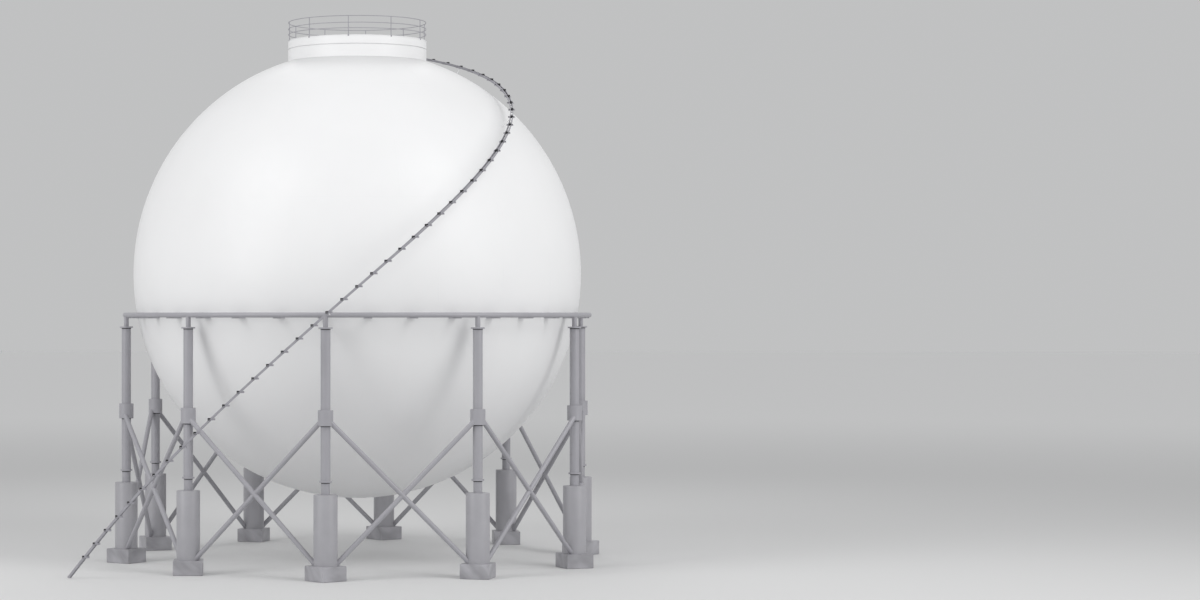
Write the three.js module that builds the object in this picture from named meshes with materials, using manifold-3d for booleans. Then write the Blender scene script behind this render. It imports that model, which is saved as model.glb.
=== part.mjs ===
import * as THREE from 'three';
import { mergeVertices } from 'three/addons/utils/BufferGeometryUtils.js';
import Module from 'manifold-3d';

// Spherical gas tank on ten columns, with a stair that winds up to a small top platform.
// Millimetres, +Z up, ground at z = 0. Azimuths are in degrees: 0 looks to -Y, 90 to +X.

// Shell: a welded hollow sphere in five zones
const SHELL_RADIUS = 13000;
const SHELL_PLATE = 50;
const SHELL_CENTRE = 16540;
const SHELL_STEP = 12;
const SHELL_TURNS = 36;
const ZONE_EDGES = [-90, -54, -18, 18, 54, 90];
const ZONE_NAMES = [
  'shell_bottom_crown',
  'shell_lower_zone',
  'shell_equator_zone',
  'shell_upper_zone',
  'shell_top_crown',
];

// Columns, all alike, on one circle
const LEG_COUNT = 10;
const LEG_TURN = 360 / LEG_COUNT;
const FIRST_LEG = -7.2;
const LEG_CIRCLE = 13480;
const LEG_SIDES = 10;
const LOWER_COLUMN_RADIUS = 240;
const COLUMN_RADIUS = 265;
const NECK_RADIUS = 137;
const JOINT_FLANGE = { radius: 342, bottom: 5240, top: 5330 };
const SLEEVE = { radius: 412, bottom: 8250, top: 9100 };
const HEAD_FLANGE = { radius: 380, bottom: 13430, top: 13515 };

// Piers: a round jacket on a square block that turns one corner outward
const JACKET_RADIUS = 645;
const JACKET_TOP = 4600;
const FOOTING_SIDE = 1620;
const FOOTING_TOP = 800;

// Cross braces between neighbouring columns
const BRACE_RADIUS = 135;
const BRACE_SIDES = 6;
const BRACE_HEAD = 8690;
const BRACE_FOOT = 330;
const BRACE_STAND_OUT = 170;

// Ring girder and the flat brackets that tie it to the shell
const RING_HEIGHT = 14170;
const RING_TUBE = 137.5;
const RING_TUBE_SIDES = 8;
const RING_STEPS = 60;
const BRACKET_COUNT = 34;
const FIRST_BRACKET = 2.5;
const BRACKET = { width: 430, reach: 1000, plate: 70, drop: 150 };

// Collar and platform on the crown
const COLLAR_RADIUS = 4030;
const COLLAR_PLATE = 25;
const COLLAR_ROOT = 28700;
const SEAM_HEIGHT = 29600;
const DECK_HEIGHT = 30110;
const COLLAR_STEPS = 30;

// Railing round the platform, with a post over every leg
const RAIL_HEIGHTS = [385, 700, 1080];
const RAIL_CIRCLE = 4000;
const RAIL_RADIUS = 23;
const POST_RADIUS = 26;
const RAIL_SIDES = 4;
const RAIL_STEPS = 20;

// Stair: two stringers with treads between them, and a round rest plate at every third tread
const STAIR_WIDTH = 170;
const STRINGER_PLATE = 20;
const STRINGER_DEPTH = 125;
const STRINGER_STEP = 1030;
const TREAD = { going: 160, plate: 30 };
const FIRST_STEP = 234;
const LAST_STEP = 152;
const STEP_PITCH = { ground: 349.7, spiral: 331.1 };
const FIRST_REST = 5;
const STEPS_PER_REST = 3;
const REST_PLATE = { radius: 200, plate: 35, sides: 8, ahead: 80 };
const FLIGHTS = 6;
const RESTS_PER_FLIGHT = 8;
const STAIR_STAND_OFF = { equator: 1300, pole: 533 };
const SPIRAL_CLIMB = 40.75;
const SPIRAL_START = { latitude: 0, azimuth: 4.16 };
const SPIRAL_END_LATITUDE = 69.5;
const STAIR_FOOT = [-15544, -11776, 0];
const FOOT_PULL = [4167, -3057, 5189];
const SPIRAL_PULL = 13561;
const TOP_PULL = { out: 550, into: 700, drop: 250 };
const STRUT_RADIUS = 38;
const STRUT_SIDES = 6;
const STRUT_EVERY = 9;

// Landing outside the collar, a plate from one azimuth to another on two ribs
const LANDING = { start: 140, end: 152, circle: 4300, outer: 4560, inner: 3800, plate: 40 };
const LANDING_RIB = { inset: 2, reach: 4500, depth: 360, plate: 30 };

// Room left between pieces that touch
const GAP = 0.3;

const PAINTS = {
  white: { color: 0xf4f4f6, roughness: 0.45, metalness: 0.0 },
  grey: { color: 0xa09fa5, roughness: 0.55, metalness: 0.1 },
  footing: { color: 0xa3a2a7, roughness: 0.85, metalness: 0.0 },
};

const wasm = await Module();
wasm.setup();

const rad = THREE.MathUtils.degToRad;
const tank = new THREE.Group();

// Closed solid from a three.js geometry: equal points merged, flat triangles dropped
function solid(geometry) {
  const bare = geometry.clone();
  bare.deleteAttribute('normal');
  bare.deleteAttribute('uv');
  const merged = mergeVertices(bare, 1e-3);
  const corners = merged.index.array;
  const triangles = [];
  for (let i = 0; i < corners.length; i += 3) {
    const [a, b, c] = corners.slice(i, i + 3);
    if (a !== b && b !== c && c !== a) triangles.push(a, b, c);
  }
  const vertProperties = Float32Array.from(merged.attributes.position.array);
  const triVerts = Uint32Array.from(triangles);
  return new wasm.Manifold(new wasm.Mesh({ numProp: 3, vertProperties, triVerts }));
}

const joined = (parts) => parts.reduce((whole, part) => whole.add(part));

// Puts a solid into the scene as one named mesh
function addNode(name, body, paint, parent = tank) {
  const { vertProperties, triVerts } = body.getMesh();
  const geometry = new THREE.BufferGeometry();
  geometry.setAttribute('position', new THREE.BufferAttribute(vertProperties, 3));
  geometry.setIndex(new THREE.BufferAttribute(triVerts, 1));
  geometry.computeVertexNormals();
  const mesh = new THREE.Mesh(geometry, new THREE.MeshStandardMaterial(PAINTS[paint]));
  mesh.name = name;
  parent.add(mesh);
}

// Turned geometry about +Z from [radius, height] pairs
function turned(profile, steps, firstAzimuth = 0) {
  const points = profile.map(([radius, height]) => new THREE.Vector2(radius, height));
  return new THREE.LatheGeometry(points, steps).rotateX(Math.PI / 2).rotateZ(rad(firstAzimuth));
}

const turnedSolid = (profile, steps, firstAzimuth) => solid(turned(profile, steps, firstAzimuth));

// A point at a radius, azimuth and height
function polar(radius, azimuth, height) {
  return new THREE.Vector3(radius * Math.sin(rad(azimuth)), -radius * Math.cos(rad(azimuth)), height);
}

// A round bar with flat sides between two points
function bar(from, to, radius, sides) {
  const along = new THREE.Vector3().subVectors(to, from);
  const middle = from.clone().add(to).multiplyScalar(0.5);
  const turn = new THREE.Quaternion();
  turn.setFromUnitVectors(new THREE.Vector3(0, 1, 0), along.clone().normalize());
  const geometry = new THREE.CylinderGeometry(radius, radius, along.length(), sides);
  return geometry.applyQuaternion(turn).translate(...middle.toArray());
}

// A level ring of pipe round the axis, made in one turn from its section
function levelRing(radius, height, tubeRadius, tubeSides, steps) {
  const section = [];
  for (let i = 0; i <= tubeSides; i++) {
    const angle = rad(((i + 0.5) * 360) / tubeSides);
    section.push([radius + tubeRadius * Math.cos(angle), height + tubeRadius * Math.sin(angle)]);
  }
  return turnedSolid(section, steps, FIRST_LEG);
}

// Shell

function shellArc(radius, from, to) {
  const steps = Math.round((to - from) / SHELL_STEP);
  const points = [];
  for (let i = 0; i <= steps; i++) {
    const latitude = rad(from + ((to - from) * i) / steps);
    const onAxis = Math.abs(Math.cos(latitude)) < 1e-9;
    points.push([onAxis ? 0 : radius * Math.cos(latitude), SHELL_CENTRE + radius * Math.sin(latitude)]);
  }
  return points;
}

function shellZone(from, to) {
  const seam = THREE.MathUtils.radToDeg(GAP / 2 / SHELL_RADIUS);
  const low = from + (from > -90 ? seam : 0);
  const high = to - (to < 90 ? seam : 0);
  const inside = shellArc(SHELL_RADIUS - SHELL_PLATE, low, high).reverse();
  const outside = shellArc(SHELL_RADIUS, low, high);
  if (from === -90) return [...outside, ...inside];
  if (to === 90) return [...inside, ...outside];
  return [...outside, ...inside, outside[0]];
}

function addShell() {
  ZONE_NAMES.forEach((name, i) => {
    const zone = shellZone(ZONE_EDGES[i], ZONE_EDGES[i + 1]);
    addNode(name, turnedSolid(zone, SHELL_TURNS, FIRST_LEG), 'white');
  });
}

// The full ball that trims whatever meets the shell
const shellTrim = turnedSolid(shellArc(SHELL_RADIUS + GAP, -90, 90), SHELL_TURNS, FIRST_LEG);

// Ring girder

const ringTube = (tubeRadius) =>
  levelRing(LEG_CIRCLE, RING_HEIGHT, tubeRadius, RING_TUBE_SIDES, RING_STEPS);

// One flat plate from the ring's underside to the shell
function ringBracket(azimuth) {
  const { width, reach, plate: thickness, drop } = BRACKET;
  const plate = new THREE.BoxGeometry(width, reach, thickness);
  plate.translate(0, reach / 2 - LEG_CIRCLE, RING_HEIGHT - drop).rotateZ(rad(azimuth));
  return solid(plate).subtract(shellTrim);
}

// The brackets are notched where one meets the neck of a column
function addRing() {
  const brackets = [];
  for (let i = 0; i < BRACKET_COUNT; i++) {
    brackets.push(ringBracket(FIRST_BRACKET + (i * 360) / BRACKET_COUNT));
  }
  const necks = [];
  for (let i = 0; i < LEG_COUNT; i++) {
    necks.push(columnSolid(FIRST_LEG + i * LEG_TURN, GAP));
  }
  const notched = joined(brackets).subtract(joined(necks));
  addNode('ring_girder', notched.add(ringTube(RING_TUBE)), 'grey');
}

// Columns and piers, modelled on the front leg at azimuth 0 and turned into place

function columnProfile(grow) {
  const profile = [[0, FOOTING_TOP + GAP - grow], [LOWER_COLUMN_RADIUS + grow, FOOTING_TOP + GAP - grow]];
  let shaft = LOWER_COLUMN_RADIUS;
  for (const collar of [JOINT_FLANGE, SLEEVE, HEAD_FLANGE]) {
    profile.push([shaft + grow, collar.bottom - grow], [collar.radius + grow, collar.bottom - grow]);
    shaft = collar === HEAD_FLANGE ? NECK_RADIUS : COLUMN_RADIUS;
    profile.push([collar.radius + grow, collar.top + grow], [shaft + grow, collar.top + grow]);
  }
  const top = RING_HEIGHT - RING_TUBE / 2;
  profile.push([NECK_RADIUS + grow, top], [0, top]);
  return profile;
}

function onLegCircle(geometry, azimuth) {
  return geometry.translate(0, -LEG_CIRCLE, 0).rotateZ(rad(azimuth));
}

function columnSolid(azimuth, grow) {
  return solid(onLegCircle(turned(columnProfile(grow), LEG_SIDES), azimuth));
}

function footingBlock(azimuth, grow) {
  const side = FOOTING_SIDE + 2 * grow;
  const block = new THREE.BoxGeometry(side, side, FOOTING_TOP + grow);
  block.rotateZ(Math.PI / 4).translate(0, 0, (FOOTING_TOP + grow) / 2);
  return solid(onLegCircle(block, azimuth));
}

function jacket(azimuth, grow, bore) {
  const root = FOOTING_TOP / 2;
  const outside = [[JACKET_RADIUS + grow, root], [JACKET_RADIUS + grow, JACKET_TOP + grow]];
  const profile = bore
    ? [...outside, [bore, JACKET_TOP], [bore, root], outside[0]]
    : [[0, root], ...outside, [0, JACKET_TOP + grow]];
  return solid(onLegCircle(turned(profile, LEG_SIDES), azimuth));
}

const legName = (kind, i) => `${kind}_${String(i + 1).padStart(2, '0')}`;

function addLegs() {
  const column = columnSolid(0, 0).subtract(ringTube(RING_TUBE + GAP).rotate([0, 0, -FIRST_LEG]));
  const pier = jacket(0, 0, LOWER_COLUMN_RADIUS + GAP).add(footingBlock(0, 0));
  for (let i = 0; i < LEG_COUNT; i++) {
    const leg = new THREE.Group();
    leg.rotation.z = rad(FIRST_LEG + i * LEG_TURN);
    addNode(legName('column', i), column, 'grey', leg);
    addNode(legName('pier', i), pier, 'footing', leg);
    tank.add(leg);
  }
}

// Cross braces: two pipes welded where they cross, fitted to the sleeves and jackets at their ends

function addBraces() {
  const half = LEG_TURN / 2;
  const pipes = [-1, 1].map((side) => {
    const head = polar(LEG_CIRCLE, side * half, BRACE_HEAD);
    const foot = polar(LEG_CIRCLE, -side * half, BRACE_FOOT);
    return solid(bar(head, foot, BRACE_RADIUS, BRACE_SIDES).translate(0, -BRACE_STAND_OUT, 0));
  });
  const ends = [-half, half].flatMap((azimuth) => [
    columnSolid(azimuth, GAP),
    jacket(azimuth, GAP),
    footingBlock(azimuth, GAP),
  ]);
  const brace = joined(pipes).subtract(joined(ends));
  for (let i = 0; i < LEG_COUNT; i++) {
    const bay = new THREE.Group();
    bay.rotation.z = rad(FIRST_LEG + (i + 0.5) * LEG_TURN);
    addNode(legName('cross_brace', i), brace, 'grey', bay);
    tank.add(bay);
  }
}

// Collar, platform and railing

function addCollar() {
  const inner = COLLAR_RADIUS - COLLAR_PLATE;
  const wallTop = SEAM_HEIGHT - GAP;
  const wall = [
    [COLLAR_RADIUS, COLLAR_ROOT],
    [COLLAR_RADIUS, wallTop],
    [inner, wallTop],
    [inner, COLLAR_ROOT],
    [COLLAR_RADIUS, COLLAR_ROOT],
  ];
  addNode('collar_skirt', turnedSolid(wall, COLLAR_STEPS, FIRST_LEG).subtract(shellTrim), 'white');
  const platform = [
    [0, DECK_HEIGHT - COLLAR_PLATE],
    [inner, DECK_HEIGHT - COLLAR_PLATE],
    [inner, SEAM_HEIGHT],
    [COLLAR_RADIUS, SEAM_HEIGHT],
    [COLLAR_RADIUS, DECK_HEIGHT],
    [0, DECK_HEIGHT],
  ];
  addNode('top_platform', turnedSolid(platform, COLLAR_STEPS, FIRST_LEG), 'white');
}

function addRailing() {
  const parts = RAIL_HEIGHTS.map((height) =>
    levelRing(RAIL_CIRCLE, DECK_HEIGHT + height, RAIL_RADIUS, RAIL_SIDES, RAIL_STEPS));
  for (let i = 0; i < LEG_COUNT; i++) {
    const azimuth = FIRST_LEG + i * LEG_TURN;
    const foot = polar(RAIL_CIRCLE, azimuth, DECK_HEIGHT + GAP);
    const head = polar(RAIL_CIRCLE, azimuth, DECK_HEIGHT + RAIL_HEIGHTS[2] + RAIL_RADIUS);
    parts.push(solid(bar(foot, head, POST_RADIUS, RAIL_SIDES)));
  }
  addNode('platform_railing', joined(parts), 'grey');
}

// Stair

// A line round the shell that climbs at one angle, further from the shell at its middle than above
class SpiralClimb extends THREE.Curve {
  getPoint(t) {
    const latitude = THREE.MathUtils.lerp(SPIRAL_START.latitude, SPIRAL_END_LATITUDE, t);
    const { equator, pole } = STAIR_STAND_OFF;
    const radius = SHELL_RADIUS + THREE.MathUtils.lerp(equator, pole, Math.sin(rad(latitude)));
    const stretch = (angle) => Math.log(Math.tan(Math.PI / 4 + rad(angle) / 2));
    const turn = (stretch(latitude) - stretch(SPIRAL_START.latitude)) / Math.tan(rad(SPIRAL_CLIMB));
    const azimuth = SPIRAL_START.azimuth + THREE.MathUtils.radToDeg(turn);
    const height = SHELL_CENTRE + radius * Math.sin(rad(latitude));
    return polar(radius * Math.cos(rad(latitude)), azimuth, height);
  }
}

function stairPath() {
  const spiral = new SpiralClimb();
  const spiralFoot = spiral.getPoint(0);
  const spiralHead = spiral.getPoint(1);
  const foot = new THREE.Vector3(...STAIR_FOOT);
  const ground = new THREE.CubicBezierCurve3(
    foot,
    foot.clone().add(new THREE.Vector3(...FOOT_PULL)),
    spiralFoot.clone().addScaledVector(spiral.getTangent(0), -SPIRAL_PULL),
    spiralFoot,
  );
  const end = polar(LANDING.circle, LANDING.start, DECK_HEIGHT);
  const top = new THREE.CubicBezierCurve3(
    spiralHead,
    spiralHead.clone().addScaledVector(spiral.getTangent(1), TOP_PULL.out),
    end.clone().add(polar(TOP_PULL.into, LANDING.start - 90, -TOP_PULL.drop)),
    end,
  );
  const path = new THREE.CurvePath();
  path.add(ground);
  path.add(spiral);
  path.add(top);
  return path;
}

const path = stairPath();
const pathLength = path.getLength();
const groundLength = path.getCurveLengths()[0];

// Distance of a step along the path. The steps come a little closer where the spiral begins
function stepDistance(step) {
  const distance = FIRST_STEP + (step - 1) * STEP_PITCH.ground;
  const beyond = Math.max(distance - groundLength, 0);
  return distance - beyond + (beyond * STEP_PITCH.spiral) / STEP_PITCH.ground;
}

// Frame of the stair at a distance along it: level side vector, level heading, and square-off up
function stairFrame(distance) {
  const t = THREE.MathUtils.clamp(distance / pathLength, 0, 1);
  const point = path.getPoint(t);
  const near = 1e-5;
  const ahead = path.getPoint(Math.min(t + near, 1));
  const behind = path.getPoint(Math.max(t - near, 0));
  const along = ahead.sub(behind).normalize();
  const heading = new THREE.Vector3(along.x, along.y, 0).normalize();
  const side = new THREE.Vector3(-heading.y, heading.x, 0);
  const up = new THREE.Vector3().crossVectors(along, side);
  return { point, along, heading, side, up };
}

// A long box bent along the stair: x across, y square to the slope, z along the path
function stringer(from, to, across) {
  const length = to - from;
  const steps = Math.max(2, Math.round(length / STRINGER_STEP));
  const geometry = new THREE.BoxGeometry(STRINGER_PLATE, STRINGER_DEPTH, length, 1, 1, steps);
  const position = geometry.attributes.position;
  for (let i = 0; i < position.count; i++) {
    const { point, side, up } = stairFrame(from + length / 2 + position.getZ(i));
    point.addScaledVector(side, across + position.getX(i)).addScaledVector(up, position.getY(i));
    position.setXYZ(i, ...point.toArray());
  }
  return solid(geometry);
}

// A level plate laid on the stair at a distance, its x along the heading
function laidLevel(geometry, distance) {
  const { point, heading, side } = stairFrame(distance);
  const level = new THREE.Matrix4().makeBasis(heading, side, new THREE.Vector3(0, 0, 1));
  return solid(geometry.applyMatrix4(level.setPosition(point)));
}

function tread(distance) {
  return laidLevel(new THREE.BoxGeometry(TREAD.going, STAIR_WIDTH - STRINGER_PLATE, TREAD.plate), distance);
}

function restPlate(distance) {
  const { radius, plate, sides, ahead } = REST_PLATE;
  const disc = new THREE.CylinderGeometry(radius, radius, plate, sides);
  return laidLevel(disc.rotateX(Math.PI / 2).translate(ahead, 0, 0), distance);
}

// A strut from a rest plate straight in to the shell, or level to the ring girder
function strut(distance) {
  const { point } = stairFrame(distance);
  const toRing = point.z < RING_HEIGHT + RING_TUBE;
  const target = toRing
    ? new THREE.Vector3(point.x, point.y, 0).setLength(LEG_CIRCLE).setZ(RING_HEIGHT)
    : new THREE.Vector3(0, 0, SHELL_CENTRE);
  const reach = toRing ? point.distanceTo(target) : 2 * STAIR_STAND_OFF.equator;
  const end = point.clone().add(target.sub(point).setLength(reach));
  const rod = solid(bar(point, end, STRUT_RADIUS, STRUT_SIDES));
  return rod.subtract(toRing ? ringTube(RING_TUBE + GAP) : shellTrim);
}

// The first flight ends level on the ground, and the last one square at the landing's edge
function endTrimmed(body, flight) {
  if (flight === 1) return body.trimByPlane([0, 0, 1], 0);
  if (flight === FLIGHTS) return body.trimByPlane(polar(1, LANDING.start - 90, 0).toArray(), 0);
  return body;
}

const isRest = (step) => step >= FIRST_REST && (step - FIRST_REST) % STEPS_PER_REST === 0;

// The rest plate that lies nearest to a height
function restNear(height) {
  const rests = Array.from({ length: LAST_STEP + 1 }, (_, step) => step).filter(isRest);
  const off = (step) => Math.abs(stairFrame(stepDistance(step)).point.z - height);
  return rests.reduce((best, step) => (off(step) < off(best) ? step : best));
}

// Flights meet between two plain treads, one tread past a rest plate
function addStair() {
  const ringRest = restNear(RING_HEIGHT);
  const across = (STAIR_WIDTH - STRINGER_PLATE) / 2;
  const flightSteps = RESTS_PER_FLIGHT * STEPS_PER_REST;
  for (let flight = 1, first = 1; flight <= FLIGHTS; flight++) {
    const isTop = flight === FLIGHTS;
    const last = isTop ? LAST_STEP : flight * flightSteps + FIRST_REST - STEPS_PER_REST + 1;
    const from = flight === 1 ? 0 : stepDistance(first - 0.5) + GAP / 2;
    const to = isTop ? pathLength : stepDistance(last + 0.5) - GAP / 2;
    const parts = [stringer(from, to, -across), stringer(from, to, across)];
    for (let step = first; step <= last; step++) {
      const distance = stepDistance(step);
      parts.push(isRest(step) ? restPlate(distance) : tread(distance));
      const carried = step >= ringRest && (step - ringRest) % (STRUT_EVERY * STEPS_PER_REST) === 0;
      if (carried) parts.push(strut(distance));
    }
    addNode(`stair_flight_${flight}`, endTrimmed(joined(parts), flight), 'grey');
    first = last + 1;
  }
}

// One upright rib that carries the landing's plate on the collar
function landingRib(azimuth) {
  const side = new THREE.Shape();
  side.moveTo(LANDING.inner, 0);
  side.lineTo(LANDING_RIB.reach, 0);
  side.lineTo(LANDING.inner, -LANDING_RIB.depth);
  side.closePath();
  const rib = new THREE.ExtrudeGeometry(side, { depth: LANDING_RIB.plate, bevelEnabled: false });
  rib.translate(0, 0, -LANDING_RIB.plate / 2).rotateX(Math.PI / 2).rotateZ(-Math.PI / 2);
  return solid(rib.translate(0, 0, DECK_HEIGHT - LANDING.plate / 2).rotateZ(rad(azimuth)));
}

// Landing outside the collar, between the stair's head and the railing
function addLanding() {
  const { start, end, circle, outer, inner, plate: depth } = LANDING;
  const shape = new THREE.Shape();
  shape.absarc(0, 0, outer, rad(start), rad(end), false);
  shape.absarc(0, 0, inner, rad(end), rad(start), true);
  shape.closePath();
  const plate = new THREE.ExtrudeGeometry(shape, { depth, bevelEnabled: false, curveSegments: 4 });
  plate.rotateZ(-Math.PI / 2 + GAP / circle).translate(0, 0, DECK_HEIGHT - depth);
  const ribs = [start + LANDING_RIB.inset, end - LANDING_RIB.inset].map(landingRib);
  const core = [
    [0, COLLAR_ROOT],
    [COLLAR_RADIUS + GAP, COLLAR_ROOT],
    [COLLAR_RADIUS + GAP, DECK_HEIGHT + depth],
    [0, DECK_HEIGHT + depth],
  ];
  const trim = turnedSolid(core, COLLAR_STEPS, FIRST_LEG);
  addNode('stair_landing', joined([solid(plate), ...ribs]).subtract(trim), 'grey');
}

addShell();
addRing();
addLegs();
addBraces();
addCollar();
addRailing();
addStair();
addLanding();

// The origin lies on the ground under the middle of the whole outline
tank.updateMatrixWorld(true);
const outline = new THREE.Box3().setFromObject(tank, true);
const middle = outline.getCenter(new THREE.Vector3());
tank.position.set(-middle.x, -middle.y, 0);

export default tank;
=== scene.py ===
import bisect
import math

import bmesh
import bpy
from mathutils import Matrix, Vector


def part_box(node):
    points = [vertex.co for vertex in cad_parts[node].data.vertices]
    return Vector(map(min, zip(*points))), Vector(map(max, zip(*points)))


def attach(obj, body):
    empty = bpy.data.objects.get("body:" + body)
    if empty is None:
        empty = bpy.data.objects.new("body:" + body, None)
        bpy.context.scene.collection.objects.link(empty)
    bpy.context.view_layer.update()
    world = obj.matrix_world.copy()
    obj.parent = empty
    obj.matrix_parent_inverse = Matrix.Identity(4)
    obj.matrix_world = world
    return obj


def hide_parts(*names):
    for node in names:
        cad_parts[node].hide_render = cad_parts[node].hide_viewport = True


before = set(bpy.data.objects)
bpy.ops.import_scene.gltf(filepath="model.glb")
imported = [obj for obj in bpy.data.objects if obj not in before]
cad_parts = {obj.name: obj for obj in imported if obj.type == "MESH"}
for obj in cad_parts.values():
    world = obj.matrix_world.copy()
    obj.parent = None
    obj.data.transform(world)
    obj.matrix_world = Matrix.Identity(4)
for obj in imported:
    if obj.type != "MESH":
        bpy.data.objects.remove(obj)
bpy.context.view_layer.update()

UP = Vector((0, 0, 1))
# Left between two faces that would lie on each other
GAP = 0.001

# Shell
SHELL_RADIUS = 13.0
SHELL_PLATE = 0.05
SHELL_CENTRE = 16.54
SHELL_TURNS = 240
SHELL_STEP = 1.5
CROWN_EDGE = 54
EQUATOR_EDGE = 18
# Lowest and highest latitude of each node
ZONES = {
    "shell_bottom_crown": (-90, -CROWN_EDGE),
    "shell_lower_zone": (-CROWN_EDGE, -EQUATOR_EDGE),
    "shell_equator_zone": (-EQUATOR_EDGE, EQUATOR_EDGE),
    "shell_upper_zone": (EQUATOR_EDGE, CROWN_EDGE),
    "shell_top_crown": (CROWN_EDGE, 90),
}
# Plates round a zone and round a crown, whose round cap starts at a latitude
PETALS = 20
CROWN_PETALS = 10
CROWN_CAP = 78
WELD = {"width": 0.03, "height": 0.003, "shoulder": 0.75}

# Legs
LEG_COUNT = 10
LEG_TURN = 360 / LEG_COUNT
FIRST_LEG = -7.2
LEG_CIRCLE = 13.48
LEG_SIDES = 48
LOWER_COLUMN_RADIUS = 0.24
COLUMN_RADIUS = 0.265
NECK_RADIUS = 0.137
JOINT_FLANGE = {"radius": 0.342, "bottom": 5.24, "top": 5.33, "chamfer": 0.008}
SLEEVE = {"radius": 0.412, "bottom": 8.25, "top": 9.1, "chamfer": 0.014}
HEAD_FLANGE = {"radius": 0.38, "bottom": 13.43, "top": 13.515, "chamfer": 0.008}
# A near-black band under each collar, standing for the collar's shadow
SHADE_BAND = {"stand": 0.006, "height": 0.045, "sunk": 0.01}
JACKET = {"radius": 0.645, "top": 4.6, "clear": 0.02, "sunk": 0.01}
JACKET_EDGE = {"fall": 0.01, "width": 0.022, "bulge": 0.3}
FOOTING = {"side": 1.62, "top": 0.8, "chamfer": 0.025}

# Cross braces
BRACE_RADIUS = 0.135
BRACE_HEAD = 8.69
BRACE_FOOT = 0.33
BRACE_SIDES = 32
BRACE_STAND_OUT = 0.17
BRACE_LAP = 0.02

# Ring girder and its brackets
RING_HEIGHT = 14.17
RING_TUBE = 0.1375
RING_TURNS = 300
RING_SIDES = 28
BRACKET_COUNT = 34
FIRST_BRACKET = 2.5
BRACKET = {"inner": 12.74, "width": 0.43, "plate": 0.05, "drop": 0.16, "chamfer": 0.004}

# Collar, platform and railing
COLLAR_RADIUS = 4.03
COLLAR_EDGE = 0.004
SKIRT_SUNK = 0.03
RIM_DEPTH = 0.09
SEAM_HEIGHT = 29.6
DECK_HEIGHT = 30.11
DECK = {"plate": 0.025, "drop": 0.002}
COLLAR_TURNS = 160
SEAM_GROOVE = {"height": 0.05, "depth": 0.06}
DECK_LIP = {"plate": 0.03, "groove": 0.022, "depth": 0.02}
RAIL_HEIGHTS = (0.385, 0.7, 1.08)
RAIL_CIRCLE = 4.0
RAIL = {"radius": 0.021, "sides": 12}
POST = {"radius": 0.025, "sides": 16}
POST_SHOE = {"size": (0.09, 0.08, 0.09), "below": 0.035, "chamfer": 0.006}

# Stair
STAIR_WIDTH = 0.17
STRINGER = {"web": 0.01, "depth": 0.125, "flange": 0.035}
TREAD = {"going": 0.16, "plate": 0.03, "nosing": 0.012}
TREAD_BAR = {"count": 4, "plate": 0.006, "inset": 0.01, "shorter": 0.02, "lower": 0.006, "drop": 0.002}
TREAD_TIE = {"side": 0.008, "rise": 0.009}
FIRST_STEP = 0.234
LAST_STEP = 152
STEP_PITCH = {"ground": 0.3497, "spiral": 0.3311}
FIRST_REST = 5
STEPS_PER_REST = 3
REST_PLATE = {"radius": 0.198, "plate": 0.035, "edge": 0.004, "sides": 40, "ahead": 0.08}
REST_RIM = {"inset": 0.006, "thick": 0.012, "rise": 0.08, "turn": (-60, 90)}
# A block at the back of each rest plate, painted near-black as the shadow under the plate
SHADE_CLIP = {"back": 0.055, "out": 0.025, "rise": 0.03, "size": (0.145, 0.14, 0.14), "chamfer": 0.01}
FLIGHTS = 6
RESTS_PER_FLIGHT = 8
STAIR_STAND_OFF = {"equator": 1.3, "pole": 0.533}
# The spiral starts level with the shell's middle and climbs at one angle, in degrees
SPIRAL_CLIMB = 40.75
SPIRAL_AZIMUTH = 4.16
SPIRAL_END_LATITUDE = 69.5
# The foot, and the handles of the curves before and after the spiral
STAIR_FOOT = Vector((-15.544, -11.776, 0))
FOOT_PULL = Vector((4.167, -3.057, 5.189))
SPIRAL_PULL = 13.561
TOP_PULL = {"out": 0.55, "into": 0.7, "drop": 0.25}
STRUT = {"radius": 0.028, "sides": 16, "every": 9, "sunk": 0.01}
LANDING = {"start": 140, "end": 152, "steps": 12, "circle": 4.3, "outer": 4.56, "plate": 0.04}
LANDING_RIB = {"inset": 2, "reach": 4.5, "root": 0.252, "tip": 0.04, "plate": 0.03}

# The tank's axis stands off the frame's origin, which is the middle of the whole outline
shell_low, shell_high = (Vector(corner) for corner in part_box("shell_equator_zone"))
AXIS = (shell_low + shell_high) / 2
AXIS.z = 0


def polar(radius, azimuth, height=0.0, centre=AXIS):
    """A point at a radius, azimuth and height about an upright axis."""
    turn = math.radians(azimuth)
    return centre + Vector((radius * math.sin(turn), -radius * math.cos(turn), height))


def lerp(low, high, share):
    return low + (high - low) * share


# Materials

WHITE = (0.86, 0.86, 0.865)
WHITE_ROUGHNESS = 0.41
# Painted shade on the crown round the collar's foot: how far it reaches and how dark it is at the foot
COLLAR_SHADE = {"reach": 3.6, "depth": 0.27}
CHEQUER = {"turns": (45, -45), "scale": 8.0, "height": 0.003}
STREAK_TILT = (40, 40, 0)
# The stretch of a noise that holds most of its values
NOISE_LOW = 0.3
NOISE_HIGH = 0.7


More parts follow.
